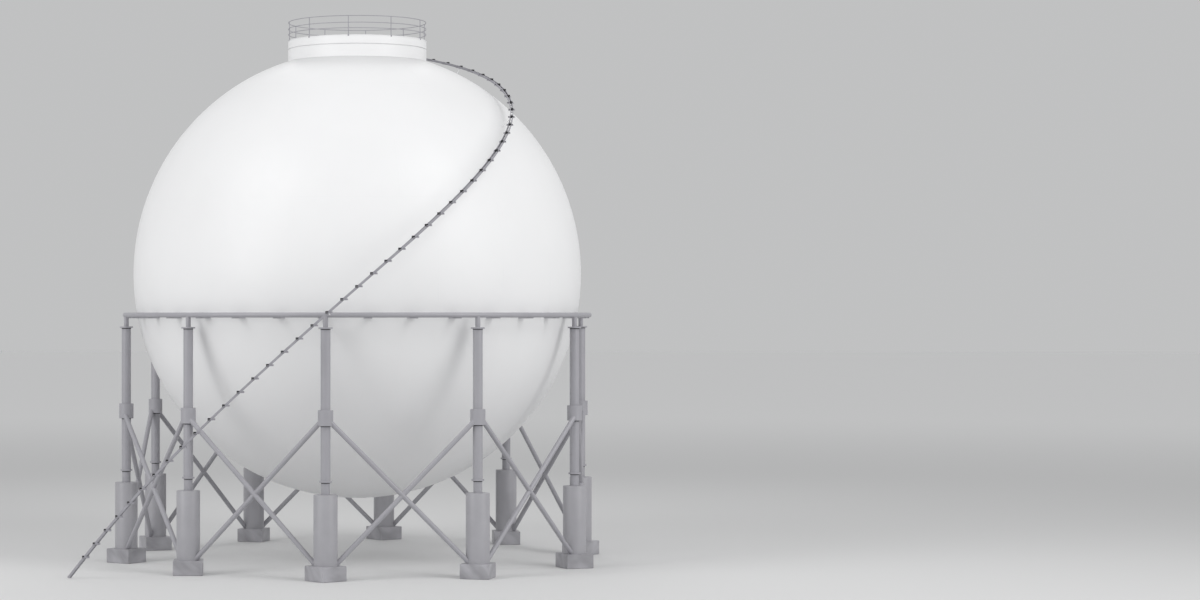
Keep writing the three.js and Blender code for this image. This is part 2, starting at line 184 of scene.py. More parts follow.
class Shader:
    """A painted material whose colour, roughness and bump come from nodes."""

    def __init__(self, name, colour, roughness):
        self.material = bpy.data.materials.new(name)
        self.material.use_nodes = True
        self.nodes = self.material.node_tree.nodes
        self.links = self.material.node_tree.links
        self.principled = self.nodes["Principled BSDF"]
        self.colour = colour
        self.roughness = roughness
        self.place = self.nodes.new("ShaderNodeTexCoord").outputs["Object"]

    def noise(self, scale, detail, place=None):
        """A noise over the object's own coordinates, or over another socket's."""
        noise = self.nodes.new("ShaderNodeTexNoise")
        noise.inputs["Scale"].default_value = scale
        noise.inputs["Detail"].default_value = detail
        self.links.new(self.place if place is None else place, noise.inputs["Vector"])
        return noise.outputs["Fac"]

    def streaks(self, scale, detail, tilt, stretch):
        """A noise drawn out in two directions of a frame that is tilted by angles in degrees."""
        mapping = self.nodes.new("ShaderNodeMapping")
        mapping.vector_type = "TEXTURE"
        mapping.inputs["Rotation"].default_value = [math.radians(angle) for angle in tilt]
        mapping.inputs["Scale"].default_value = (stretch, stretch, 1)
        self.links.new(self.place, mapping.inputs["Vector"])
        return self.noise(scale, detail, mapping.outputs["Vector"])

    def spread(self, source, low, high):
        """Maps a noise to a range."""
        ranger = self.nodes.new("ShaderNodeMapRange")
        ranger.inputs["From Min"].default_value = NOISE_LOW
        ranger.inputs["From Max"].default_value = NOISE_HIGH
        ranger.inputs["To Min"].default_value = low
        ranger.inputs["To Max"].default_value = high
        self.links.new(source, ranger.inputs["Value"])
        return ranger.outputs["Result"]

    def reckon(self, operation, first, second=0.0, clamp=False):
        """One operation on two numbers, each a socket or a plain value."""
        node = self.nodes.new("ShaderNodeMath")
        node.operation = operation
        node.use_clamp = clamp
        for socket, value in zip(node.inputs, (first, second)):
            if isinstance(value, (int, float)):
                socket.default_value = value
            else:
                self.links.new(value, socket)
        return node.outputs["Value"]

    def square(self, source):
        return self.reckon("MULTIPLY", source, source)

    def reckon_vector(self, operation, source, values):
        """One operation on a vector from a socket and a plain one."""
        node = self.nodes.new("ShaderNodeVectorMath")
        node.operation = operation
        self.links.new(source, node.inputs[0])
        node.inputs[1].default_value = values
        return node.outputs["Vector"]

    def length(self, source):
        node = self.nodes.new("ShaderNodeVectorMath")
        node.operation = "LENGTH"
        self.links.new(source, node.inputs[0])
        return node.outputs["Value"]

    def vary_colour(self, source, amount, painted_shade=0.0):
        """Lighter and darker patches about the paint's own colour, less a painted shade."""
        shade = self.nodes.new("ShaderNodeHueSaturation")
        shade.inputs["Color"].default_value = (*self.colour, 1)
        value = self.reckon("SUBTRACT", self.spread(source, 1 - amount, 1 + amount), painted_shade)
        self.links.new(value, shade.inputs["Value"])
        self.links.new(shade.outputs["Color"], self.principled.inputs["Base Color"])

    def vary_roughness(self, source, amount):
        spread = self.spread(source, self.roughness - amount, self.roughness + amount)
        self.links.new(spread, self.principled.inputs["Roughness"])

    def bump(self, source, height):
        bump = self.nodes.new("ShaderNodeBump")
        bump.inputs["Distance"].default_value = height
        self.links.new(source, bump.inputs["Height"])
        self.links.new(bump.outputs["Normal"], self.principled.inputs["Normal"])


def weather_and_shade_white(shader, painted_shade):
    """The faint unevenness that both white paints share, less a painted shade that is passed in."""
    shader.vary_colour(shader.noise(scale=0.22, detail=4), amount=0.012, painted_shade=painted_shade)
    shader.vary_roughness(shader.noise(scale=1.7, detail=5), amount=0.05)
    shader.bump(shader.noise(scale=9.0, detail=6), height=0.0012)


def shell_paint():
    """White paint with a painted shade on the crown, darkest where the collar stands on it."""
    shader = Shader("shell_paint", WHITE, WHITE_ROUGHNESS)
    foot_height = SHELL_CENTRE + math.sqrt(SHELL_RADIUS**2 - COLLAR_RADIUS**2)
    shifted = shader.reckon_vector("SUBTRACT", shader.place, (AXIS.x, AXIS.y, foot_height))
    level = shader.reckon_vector("MULTIPLY", shifted, (1, 1, 0))
    rise = shader.reckon_vector("MULTIPLY", shifted, (0, 0, 1))
    across = shader.reckon("SUBTRACT", shader.length(level), COLLAR_RADIUS)
    squares = shader.reckon("ADD", shader.square(across), shader.square(shader.length(rise)))
    share = shader.reckon("DIVIDE", shader.reckon("SQRT", squares), COLLAR_SHADE["reach"])
    near = shader.reckon("SUBTRACT", 1.0, share, clamp=True)
    # Painted shade, darkest at the collar's foot and gone at its reach
    painted_shade = shader.reckon("MULTIPLY", shader.square(near), COLLAR_SHADE["depth"])
    weather_and_shade_white(shader, painted_shade)
    return shader.material


def white_paint():
    shader = Shader("white_paint", WHITE, WHITE_ROUGHNESS)
    weather_and_shade_white(shader, painted_shade=0.0)
    return shader.material


def deck_paint():
    """White paint over raised chequer bars."""
    shader = Shader("deck_paint", colour=(0.8, 0.8, 0.805), roughness=0.55)
    shader.vary_colour(shader.noise(scale=1.4, detail=5), amount=0.04)
    shader.vary_roughness(shader.noise(scale=6.0, detail=4), amount=0.08)
    waves = []
    for turn in CHEQUER["turns"]:
        mapping = shader.nodes.new("ShaderNodeMapping")
        mapping.inputs["Rotation"].default_value = (0, 0, math.radians(turn))
        shader.links.new(shader.place, mapping.inputs["Vector"])
        wave = shader.nodes.new("ShaderNodeTexWave")
        wave.inputs["Scale"].default_value = CHEQUER["scale"]
        shader.links.new(mapping.outputs["Vector"], wave.inputs["Vector"])
        waves.append(wave.outputs["Fac"])
    shader.bump(shader.reckon("MAXIMUM", *waves), CHEQUER["height"])
    return shader.material


def grey_paint():
    shader = Shader("grey_paint", colour=(0.365, 0.36, 0.388), roughness=0.38)
    shader.vary_colour(shader.noise(scale=0.8, detail=5), amount=0.03)
    shader.vary_roughness(shader.noise(scale=5.0, detail=5), amount=0.06)
    shader.bump(shader.noise(scale=40.0, detail=4), height=0.0006)
    return shader.material


def stair_paint():
    shader = Shader("stair_paint", colour=(0.34, 0.335, 0.365), roughness=0.5)
    shader.vary_colour(shader.noise(scale=3.0, detail=5), amount=0.05)
    shader.vary_roughness(shader.noise(scale=9.0, detail=4), amount=0.08)
    shader.bump(shader.noise(scale=60.0, detail=4), height=0.0005)
    return shader.material


# Near-black paint for painted shade: the bands under the collars and the clip blocks under the rest
# plates
def shadow_black_paint():
    shader = Shader("shadow_black_paint", colour=(0.012, 0.012, 0.014), roughness=0.7)
    shader.vary_colour(shader.noise(scale=7.0, detail=4), amount=0.15)
    shader.vary_roughness(shader.noise(scale=14.0, detail=4), amount=0.1)
    shader.bump(shader.noise(scale=70.0, detail=3), height=0.0006)
    return shader.material


def painted_concrete():
    shader = Shader("painted_concrete", colour=(0.375, 0.37, 0.394), roughness=0.4)
    shader.vary_colour(shader.noise(scale=1.1, detail=6), amount=0.04)
    shader.vary_roughness(shader.noise(scale=4.0, detail=6), amount=0.08)
    shader.bump(shader.noise(scale=16.0, detail=8), height=0.003)
    return shader.material


def painted_footing():
    """Concrete under a slightly glossy paint, with slanting lighter and darker streaks."""
    shader = Shader("painted_footing", colour=(0.36, 0.355, 0.379), roughness=0.4)
    streaks = shader.streaks(scale=2.0, detail=2, tilt=STREAK_TILT, stretch=3.0)
    shader.vary_colour(streaks, amount=0.22)
    shader.vary_roughness(shader.noise(scale=4.0, detail=6), amount=0.08)
    shader.bump(shader.noise(scale=16.0, detail=8), height=0.002)
    return shader.material


# Each material with the name of its slot in the frame
MATERIALS = {
    "shell": (shell_paint(), "white_paint"),
    "white": (white_paint(), "white_paint"),
    "deck": (deck_paint(), "white_paint"),
    "grey": (grey_paint(), "grey_paint"),
    "stair": (stair_paint(), "grey_paint"),
    "dark": (shadow_black_paint(), "grey_paint"),
    "concrete": (painted_concrete(), "painted_concrete"),
    "footing": (painted_footing(), "painted_concrete"),
}


# Meshes


class Mesher:
    """Gathers the points and faces of one piece."""

    def __init__(self):
        self.points = []
        self.faces = []

    def loft(self, rings, closed=False):
        """A skin over rings of points. A ring of one point is a tip, and open ends are capped."""
        starts = []
        for ring in rings:
            starts.append(len(self.points))
            self.points.extend(ring)
        count = len(rings)
        for i in range(count if closed else count - 1):
            j = (i + 1) % count
            self.band(starts[i], len(rings[i]), starts[j], len(rings[j]))
        if not closed:
            for i in (0, count - 1):
                if len(rings[i]) > 2:
                    self.faces.append(list(range(starts[i], starts[i] + len(rings[i]))))

    def band(self, first, first_count, second, second_count):
        steps = max(first_count, second_count)
        for i in range(steps):
            j = (i + 1) % steps
            corners = []
            if first_count > 1:
                corners += [first + j, first + i]
            else:
                corners.append(first)
            if second_count > 1:
                corners += [second + i, second + j]
            else:
                corners.append(second)
            self.faces.append(corners)

    def turn(self, profile, steps, centre=AXIS, start=FIRST_LEG, closed=False):
        """A turned skin from [radius, height] pairs. Radius 0 is a tip on the axis."""
        rings = []
        for radius, height in profile:
            if radius == 0:
                rings.append([centre + UP * height])
            else:
                azimuths = [start + 360 * i / steps for i in range(steps)]
                rings.append([polar(radius, azimuth, height, centre) for azimuth in azimuths])
        self.loft(rings, closed)

    def ring(self, radius, height, tube, steps, sides, centre=AXIS):
        """A level ring of pipe."""
        section = []
        for i in range(sides):
            angle = 2 * math.pi * (i + 0.5) / sides
            section.append((radius + tube * math.cos(angle), height + tube * math.sin(angle)))
        self.turn(section, steps, centre, closed=True)

    def bar(self, start, end, radius, sides):
        """A round bar between two points."""
        along = (end - start).normalized()
        side = along.orthogonal().normalized()
        other = along.cross(side)
        rings = []
        angles = [2 * math.pi * i / sides for i in range(sides)]
        for point in (start, end):
            ways = [side * math.cos(angle) + other * math.sin(angle) for angle in angles]
            rings.append([point + way * radius for way in ways])
        self.loft(rings)

    def sweep(self, section, frames, closed=False):
        """A section of (across, up) pairs carried along frames of (point, across, up)."""
        rings = [[point + across * x + up * y for x, y in section] for point, across, up in frames]
        self.loft(rings, closed)

    def block(self, place, size, chamfer=0.0):
        """A box in the frame that place gives, with all its edges chamfered."""
        half_x, half_y, half_z = (extent / 2 for extent in size)
        levels = [(-half_z, 0), (half_z, 0)]
        if chamfer:
            levels = [
                (-half_z, chamfer),
                (chamfer - half_z, 0),
                (half_z - chamfer, 0),
                (half_z, chamfer),
            ]
        rings = []
        for height, inset in levels:
            far_x, far_y = half_x - inset, half_y - inset
            corners = [(far_x, -far_y), (far_x, far_y), (-far_x, far_y), (-far_x, -far_y)]
            if chamfer:
                outline = []
                for x, y in corners:
                    first = (x, y - math.copysign(chamfer, y))
                    second = (x - math.copysign(chamfer, x), y)
                    outline += [first, second] if x * y > 0 else [second, first]
                corners = outline
            rings.append([place @ Vector((x, y, height)) for x, y in corners])
        self.loft(rings)


def piece(name, mesher, paint, replaces=(), sharp=30):
    """Makes one object of a mesher's faces. It rides on the one body."""
    mesh = bpy.data.meshes.new(name)
    mesh.from_pydata([tuple(p) for p in mesher.points], [], mesher.faces)
    work = bmesh.new()
    work.from_mesh(mesh)
    bmesh.ops.recalc_face_normals(work, faces=work.faces)
    work.to_mesh(mesh)
    work.free()
    mesh.shade_smooth()
    mesh.set_sharp_from_angle(angle=math.radians(sharp))
    obj = bpy.data.objects.new(name, mesh)
    bpy.context.scene.collection.objects.link(obj)
    material, slot = MATERIALS[paint]
    mesh.materials.append(material)
    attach(obj, "root")
    if replaces:
        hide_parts(*replaces)
    return obj


def level_frame(point, heading):
    """The frame of a level plate: x along the heading, y to its left, z up."""
    side = UP.cross(heading)
    place = Matrix((heading, side, UP)).transposed().to_4x4()
    place.translation = point
    return place


# Shell


def shell_arc(radius, low, high):
    """The upright section of the shell from one latitude to another."""
    steps = round(abs(high - low) / SHELL_STEP)
    profile = []
    for i in range(steps + 1):
        degrees = lerp(low, high, i / steps)
        latitude = math.radians(degrees)
        reach = 0 if abs(degrees) == 90 else radius * math.cos(latitude)
        profile.append((reach, SHELL_CENTRE + radius * math.sin(latitude)))
    return profile


def round_normals(mesh):
    """Gives the shell's skins the normals of a true sphere, so that the zones meet without a line."""
    centre = AXIS + UP * SHELL_CENTRE
    middle = SHELL_RADIUS - SHELL_PLATE / 2
    normals = []
    for face in mesh.polygons:
        reaches = [(mesh.vertices[i].co - centre).length for i in face.vertices]
        for i in face.vertices:
            out = (mesh.vertices[i].co - centre).normalized()
            if min(reaches) > middle:
                normals.append(out)
            elif max(reaches) < middle:
                normals.append(-out)
            else:
                normals.append(face.normal)
    mesh.normals_split_custom_set(normals)


def make_shell():
    """Hollow skins for the zones: a bowl at each pole, and bands between."""
    for node, (low, high) in ZONES.items():
        mesher = Mesher()
        outside = shell_arc(SHELL_RADIUS, low, high)
        inside = shell_arc(SHELL_RADIUS - SHELL_PLATE, high, low)
        if low == -90:
            mesher.turn(outside + inside, SHELL_TURNS)
        elif high == 90:
            mesher.turn(inside + outside, SHELL_TURNS)
        else:
            mesher.turn(outside + inside, SHELL_TURNS, closed=True)
        skin = piece(f"{node}_skin", mesher, "shell", [node])
        round_normals(skin.data)


def shell_point(latitude, azimuth):
    """A point on the shell, with its outward direction and the direction to the north."""
    lift = math.radians(latitude)
    out = polar(math.cos(lift), azimuth, math.sin(lift), Vector())
    north = polar(-math.sin(lift), azimuth, math.cos(lift), Vector())
    return AXIS + UP * SHELL_CENTRE + out * SHELL_RADIUS, out, north


def make_welds():
    """Flat weld beads between the zones and between their petals."""
    width, height = WELD["width"], WELD["height"]
    shoulder = height * WELD["shoulder"]
    section = [
        (-width / 2, -height),
        (-width / 4, shoulder),
        (0, height),
        (width / 4, shoulder),
        (width / 2, -height),
    ]
    mesher = Mesher()
    for latitude in (-CROWN_CAP, -CROWN_EDGE, -EQUATOR_EDGE, EQUATOR_EDGE, CROWN_EDGE, CROWN_CAP):
        frames = []
        for i in range(SHELL_TURNS):
            point, out, north = shell_point(latitude, FIRST_LEG + 360 * i / SHELL_TURNS)
            frames.append((point, north, out))
        mesher.sweep(section, frames, closed=True)
    spans = [(low, high, PETALS) for low, high in ZONES.values() if -90 < low and high < 90]
    spans += [(-CROWN_CAP, -CROWN_EDGE, CROWN_PETALS), (CROWN_EDGE, CROWN_CAP, CROWN_PETALS)]
    for row, (low, high, petals) in enumerate(spans):
        # Every other row is turned by half a petal
        offset = 0.5 * (row % 2)
        steps = round((high - low) / SHELL_STEP)
        for petal in range(petals):
            azimuth = FIRST_LEG + 360 * (petal + offset) / petals
            frames = []
            for i in range(steps + 1):
                point, out, north = shell_point(lerp(low, high, i / steps), azimuth)
                frames.append((point, out.cross(north), out))
            mesher.sweep(section, frames)
    piece("shell_welds", mesher, "shell", sharp=60)


# Ring girder


def make_ring():
    pipe = Mesher()
    pipe.ring(LEG_CIRCLE, RING_HEIGHT, RING_TUBE, RING_TURNS, RING_SIDES)
    piece("ring_pipe", pipe, "grey", ["ring_girder"])
    plates = Mesher()
    for i in range(BRACKET_COUNT):
        azimuth = FIRST_BRACKET + 360 * i / BRACKET_COUNT
        outward = polar(1, azimuth, 0, Vector())
        middle = polar((LEG_CIRCLE + BRACKET["inner"]) / 2, azimuth, RING_HEIGHT - BRACKET["drop"])
        size = (LEG_CIRCLE - BRACKET["inner"], BRACKET["width"], BRACKET["plate"])
        plates.block(level_frame(middle, outward), size, BRACKET["chamfer"])
    piece("ring_brackets", plates, "grey")


# Columns and piers


def collar_profile(shaft_below, shaft_above, collar):
    """A plate or sleeve round a shaft, with chamfered edges."""
    radius, bottom, top, chamfer = collar["radius"], collar["bottom"], collar["top"], collar["chamfer"]
    return [
        (shaft_below, bottom),
        (radius - chamfer, bottom),
        (radius, bottom + chamfer),
        (radius, top - chamfer),
        (radius - chamfer, top),
        (shaft_above, top),
    ]


def shade_band_profile(shaft, top):
    """A flat near-black band round a shaft, right under a collar, painted as the collar's shadow."""
    inside = shaft - SHADE_BAND["sunk"]
    outside = shaft + SHADE_BAND["stand"]
    low, high = top - SHADE_BAND["height"], top - GAP
    return [(inside, low), (outside, low), (outside, high), (inside, high)]


def make_columns():
    profile = [(LOWER_COLUMN_RADIUS, FOOTING["top"])]
    profile += collar_profile(LOWER_COLUMN_RADIUS, COLUMN_RADIUS, JOINT_FLANGE)
    profile += collar_profile(COLUMN_RADIUS, COLUMN_RADIUS, SLEEVE)
    profile += collar_profile(COLUMN_RADIUS, NECK_RADIUS, HEAD_FLANGE)
    profile.append((NECK_RADIUS, RING_HEIGHT - RING_TUBE / 2))
    # Painted shadow bands under the joint flange, the sleeve and the head flange
    shade_profiles = [
        shade_band_profile(LOWER_COLUMN_RADIUS, JOINT_FLANGE["bottom"]),
        shade_band_profile(COLUMN_RADIUS, SLEEVE["bottom"]),
        shade_band_profile(COLUMN_RADIUS, HEAD_FLANGE["bottom"]),
    ]
    for i in range(LEG_COUNT):
        azimuth = FIRST_LEG + i * LEG_TURN
        centre = polar(LEG_CIRCLE, azimuth)
        mesher = Mesher()
        mesher.turn(profile, LEG_SIDES, centre, azimuth)
        piece(f"column_{i + 1:02d}_pipe", mesher, "grey", [f"column_{i + 1:02d}"])
        # Near-black bands: painted shadow under the collars
        shade_bands = Mesher()
        for shade_profile in shade_profiles:
            shade_bands.turn(shade_profile, LEG_SIDES, centre, closed=True)
        piece(f"column_{i + 1:02d}_bands", shade_bands, "dark")


def make_piers():
    """Jackets with a rounded top edge and a top that falls a little outward, on square blocks."""
    radius, edge = JACKET["radius"], JACKET_EDGE["width"]
    bulge = edge * JACKET_EDGE["bulge"]
    bore = LOWER_COLUMN_RADIUS + JACKET["clear"]
    bottom = FOOTING["top"] - JACKET["sunk"]
    shoulder = JACKET["top"] - JACKET_EDGE["fall"]
    jacket = [
        (radius, bottom),
        (radius, shoulder - edge),
        (radius - bulge, shoulder - bulge),
        (radius - edge, shoulder),
        (bore, JACKET["top"]),
        (bore, bottom),
    ]
    for i in range(LEG_COUNT):
        azimuth = FIRST_LEG + i * LEG_TURN
        centre = polar(LEG_CIRCLE, azimuth)
        mesher = Mesher()
        mesher.turn(jacket, LEG_SIDES, centre, azimuth, closed=True)
        piece(f"pier_{i + 1:02d}_jacket", mesher, "concrete", [f"pier_{i + 1:02d}"])
        footing = Mesher()
        corner_out = polar(1, azimuth + 45, 0, Vector())
        place = level_frame(centre + UP * FOOTING["top"] / 2, corner_out)
        footing.block(place, (FOOTING["side"], FOOTING["side"], FOOTING["top"]), FOOTING["chamfer"])
        piece(f"pier_{i + 1:02d}_footing", footing, "footing")


# Cross braces


def make_braces():
    """Two pipes in each bay, outside the leg circle. One laps a little over the other."""
    for i in range(LEG_COUNT):
        left = FIRST_LEG + i * LEG_TURN
        right = left + LEG_TURN
        outward = polar(1, (left + right) / 2, 0, Vector())
        outer = outward * (BRACE_STAND_OUT + BRACE_LAP / 2)
        inner = outward * (BRACE_STAND_OUT - BRACE_LAP / 2)
        mesher = Mesher()
        for head, foot, shift in ((left, right, outer), (right, left, inner)):
            top = polar(LEG_CIRCLE, head, BRACE_HEAD) + shift
            bottom = polar(LEG_CIRCLE, foot, BRACE_FOOT) + shift
            mesher.bar(top, bottom, BRACE_RADIUS, BRACE_SIDES)
        piece(f"cross_brace_{i + 1:02d}_pipes", mesher, "grey", [f"cross_brace_{i + 1:02d}"])


# Collar, platform and railing


def make_collar():
    """The collar's skirt, the platform's rim above the groove, and its deck."""
    edge = COLLAR_EDGE
    back = COLLAR_RADIUS - RIM_DEPTH
    seam_low = SEAM_HEIGHT - SEAM_GROOVE["height"] / 2
    seam_high = SEAM_HEIGHT + SEAM_GROOVE["height"] / 2
    seam_floor = COLLAR_RADIUS - SEAM_GROOVE["depth"]
    inner = seam_floor - GAP
    lip = DECK_HEIGHT - DECK_LIP["plate"]
    lip_floor = COLLAR_RADIUS - DECK_LIP["depth"]
    root = SHELL_CENTRE + math.sqrt(SHELL_RADIUS**2 - COLLAR_RADIUS**2) - SKIRT_SUNK
    deck_top = DECK_HEIGHT - DECK["drop"]
    deck_bottom = DECK_HEIGHT - DECK["plate"]
    skirt = Mesher()
    skirt.turn(
        [
            (COLLAR_RADIUS, root),
            (COLLAR_RADIUS, seam_low - edge),
            (COLLAR_RADIUS - edge, seam_low),
            (inner, seam_low),
            (inner, root),
        ],
        COLLAR_TURNS,
        closed=True,
    )
    piece("collar_skirt_plate", skirt, "white", ["collar_skirt"])
    rim = Mesher()
    rim.turn(
        [
            (back, seam_low),
            (seam_floor, seam_low),
            (seam_floor, seam_high),
            (COLLAR_RADIUS - edge, seam_high),
            (COLLAR_RADIUS, seam_high + edge),
            (COLLAR_RADIUS, lip - DECK_LIP["groove"]),
            (lip_floor, lip - DECK_LIP["groove"]),
            (lip_floor, lip),
            (COLLAR_RADIUS, lip),
            (COLLAR_RADIUS, DECK_HEIGHT - edge),
            (COLLAR_RADIUS - edge, DECK_HEIGHT),
            (back, DECK_HEIGHT),
        ],
        COLLAR_TURNS,
        closed=True,
    )
    piece("top_platform_rim", rim, "white", ["top_platform"])
    deck = Mesher()
    deck.turn(
        [
            (0, deck_bottom),
            (back, deck_bottom),
            (back, deck_top),
            (0, deck_top),
        ],
        COLLAR_TURNS,
    )
    piece("top_platform_deck", deck, "deck")


def make_railing():
    mesher = Mesher()
    for height in RAIL_HEIGHTS:
        mesher.ring(RAIL_CIRCLE, DECK_HEIGHT + height, RAIL["radius"], COLLAR_TURNS, RAIL["sides"])
    for i in range(LEG_COUNT):
        azimuth = FIRST_LEG + i * LEG_TURN
        foot = polar(RAIL_CIRCLE, azimuth, DECK_HEIGHT)
        mesher.bar(foot, foot + UP * RAIL_HEIGHTS[-1], POST["radius"], POST["sides"])
        outward = polar(1, azimuth, 0, Vector())
        shoe = level_frame(foot - UP * POST_SHOE["below"], outward)
        mesher.block(shoe, POST_SHOE["size"], POST_SHOE["chamfer"])
    piece("platform_railing_pipes", mesher, "stair", ["platform_railing"])


# Stair path: a curve up from the ground, an even climb round the shell, and a turn to the landing


def bezier(points, t):
    a, b, c, d = points
    s = 1 - t
    return a * s**3 + b * 3 * s * s * t + c * 3 * s * t * t + d * t**3


def spiral(t):
    """A line round the shell that climbs at one angle, further off at the middle than above."""
    latitude = math.radians(SPIRAL_END_LATITUDE * t)
    turn = math.log(math.tan(math.pi / 4 + latitude / 2)) / math.tan(math.radians(SPIRAL_CLIMB))
    stand_off = lerp(STAIR_STAND_OFF["equator"], STAIR_STAND_OFF["pole"], math.sin(latitude))
    radius = SHELL_RADIUS + stand_off
    azimuth = SPIRAL_AZIMUTH + math.degrees(turn)
    return polar(radius * math.cos(latitude), azimuth, SHELL_CENTRE + radius * math.sin(latitude))


def stair_curves():
    near = 1e-4
    foot_way = (spiral(near) - spiral(0)).normalized()
    head_way = (spiral(1) - spiral(1 - near)).normalized()
    foot = AXIS + STAIR_FOOT
    head = polar(LANDING["circle"], LANDING["start"], DECK_HEIGHT)
    before_head = polar(TOP_PULL["into"], LANDING["start"] - 90, -TOP_PULL["drop"], Vector())
    ground = (foot, foot + FOOT_PULL, spiral(0) - foot_way * SPIRAL_PULL, spiral(0))
    top = (spiral(1), spiral(1) + head_way * TOP_PULL["out"], head + before_head, head)
    return [lambda t: bezier(ground, t), spiral, lambda t: bezier(top, t)]


class StairPath:
    """The stair's curves as one way, measured along its length."""

    DIVISIONS = 200

    def __init__(self, curves):
        self.places = []
        self.reached = []
        reached = 0.0
        last = curves[0](0)
        for curve in curves:
            for i in range(self.DIVISIONS + 1):
                point = curve(i / self.DIVISIONS)
                reached += (point - last).length
                last = point
                self.places.append((curve, i / self.DIVISIONS))
                self.reached.append(reached)
        self.length = reached
        self.ground_length = self.reached[self.DIVISIONS]

    def point(self, distance):
        distance = min(max(distance, 0), self.length)
        i = min(bisect.bisect_right(self.reached, distance), len(self.reached) - 1)
        if self.places[i][0] is not self.places[i - 1][0]:
            i += 1
        curve, before = self.places[i - 1]
        after = self.places[i][1]
        span = self.reached[i] - self.reached[i - 1]
        share = (distance - self.reached[i - 1]) / span if span else 0
        return curve(lerp(before, after, share))

    def frame(self, distance):
        """Point, direction along, level heading, level side to the left, and square-off up."""
        near = 1e-3
        along = (self.point(distance + near) - self.point(distance - near)).normalized()
        heading = Vector((along.x, along.y, 0)).normalized()
        side = UP.cross(heading)
        return self.point(distance), along, heading, side, along.cross(side)


stair = StairPath(stair_curves())


def step_distance(step):
    """Distance of a step along the stair. The steps come a little closer where the spiral begins."""
    distance = FIRST_STEP + (step - 1) * STEP_PITCH["ground"]
    beyond = max(distance - stair.ground_length, 0)
    return distance - beyond + beyond * STEP_PITCH["spiral"] / STEP_PITCH["ground"]


def is_rest(step):
    return step >= FIRST_REST and (step - FIRST_REST) % STEPS_PER_REST == 0


def stringer(mesher, start, end, hand):
    """A channel along the stair, its flanges turned to the treads. hand is 1 on the left."""
    outer = STAIR_WIDTH / 2 * hand
    web = outer - STRINGER["web"] * hand
    lip = outer - STRINGER["flange"] * hand
    top = STRINGER["depth"] / 2
    inside = top - STRINGER["web"]
    section = [
        (outer, -top),
        (outer, top),
        (lip, top),
        (lip, inside),
        (web, inside),
        (web, -inside),
        (lip, -inside),
        (lip, -top),
    ]
    count = max(2, round((end - start) / (STEP_PITCH["ground"] / 2)))
    frames = []
    for i in range(count + 1):
        point, along, heading, side, up = stair.frame(lerp(start, end, i / count))
        frames.append((point, side, up))
    first = len(mesher.points)
    mesher.sweep(section, frames)
    if start == 0:
        trim_at_ground(mesher.points, first, len(section), stair.frame(0)[1])


def trim_at_ground(points, first, count, along):
    """Slides the points of the stair's foot that lie under the ground up the slope."""
    for i in range(first, first + count):
        if points[i].z < 0:
            points[i] = points[i] - along * (points[i].z / along.z)


def grating(mesher, distance):
    """One tread: a nosing, a back bar and upright bearing bars between the stringers."""
    point, along, heading, side, up = stair.frame(distance)
    place = level_frame(point, heading)
    going, plate, nosing = TREAD["going"], TREAD["plate"], TREAD["nosing"]
    width = STAIR_WIDTH - 2 * STRINGER["web"]
    for end in (-1, 1):
        edge = place @ Matrix.Translation((end * (going - nosing) / 2, 0, 0))
        mesher.block(edge, (nosing, width, plate))
    reach = width / 2 - TREAD_BAR["inset"]
    bar_size = (going - TREAD_BAR["shorter"], TREAD_BAR["plate"], plate - TREAD_BAR["lower"])
    for i in range(TREAD_BAR["count"]):
        across = lerp(-reach, reach, i / (TREAD_BAR["count"] - 1))
        bar = place @ Matrix.Translation((0, across, -TREAD_BAR["drop"]))
        mesher.block(bar, bar_size)
    tie = place @ Matrix.Translation((0, 0, TREAD_TIE["rise"]))
    mesher.block(tie, (TREAD_TIE["side"], width, TREAD_TIE["side"]))


def rest_plate(mesher, distance):
    """A round plate that the foot finds at every third step, with a raised rim ahead."""
    point, along, heading, side, up = stair.frame(distance)
    centre = point + heading * REST_PLATE["ahead"]
    radius, half, edge = REST_PLATE["radius"], REST_PLATE["plate"] / 2, REST_PLATE["edge"]
    profile = [
        (0, -half),
        (radius - edge, -half),
        (radius, edge - half),
        (radius, half - edge),
        (radius - edge, half),
        (0, half),
    ]
    mesher.turn(profile, REST_PLATE["sides"], centre)
    outside = radius - REST_RIM["inset"]
    inside = outside - REST_RIM["thick"]
    low, top = half - edge, REST_RIM["rise"]
    section = [(inside, low), (outside, low), (outside, top), (inside, top)]
    count = REST_PLATE["sides"] // 2
    frames = []
    for i in range(count + 1):
        turn = math.radians(lerp(*REST_RIM["turn"], i / count))
        frames.append((centre, heading * math.cos(turn) + side * math.sin(turn), UP))
    mesher.sweep(section, frames)


def rest_shade_clip(mesher, distance):
    """A block that holds a rest plate at its back, painted near-black as the shadow under the plate."""
    point, along, heading, side, up = stair.frame(distance)
    place = level_frame(point, heading)
    block = Matrix.Translation((-SHADE_CLIP["back"], -SHADE_CLIP["out"], SHADE_CLIP["rise"]))
    mesher.block(place @ block, SHADE_CLIP["size"], SHADE_CLIP["chamfer"])


def strut(mesher, distance):
    """A thin pipe from a rest plate to the shell, or level to the ring girder."""
    point = stair.frame(distance)[0]
    if point.z < RING_HEIGHT + RING_TUBE:
        level = Vector((point.x - AXIS.x, point.y - AXIS.y, 0)).normalized()
        end = AXIS + level * LEG_CIRCLE + UP * RING_HEIGHT
    else:
        centre = AXIS + UP * SHELL_CENTRE
        end = centre + (point - centre).normalized() * (SHELL_RADIUS - STRUT["sunk"])
    mesher.bar(point, end, STRUT["radius"], STRUT["sides"])


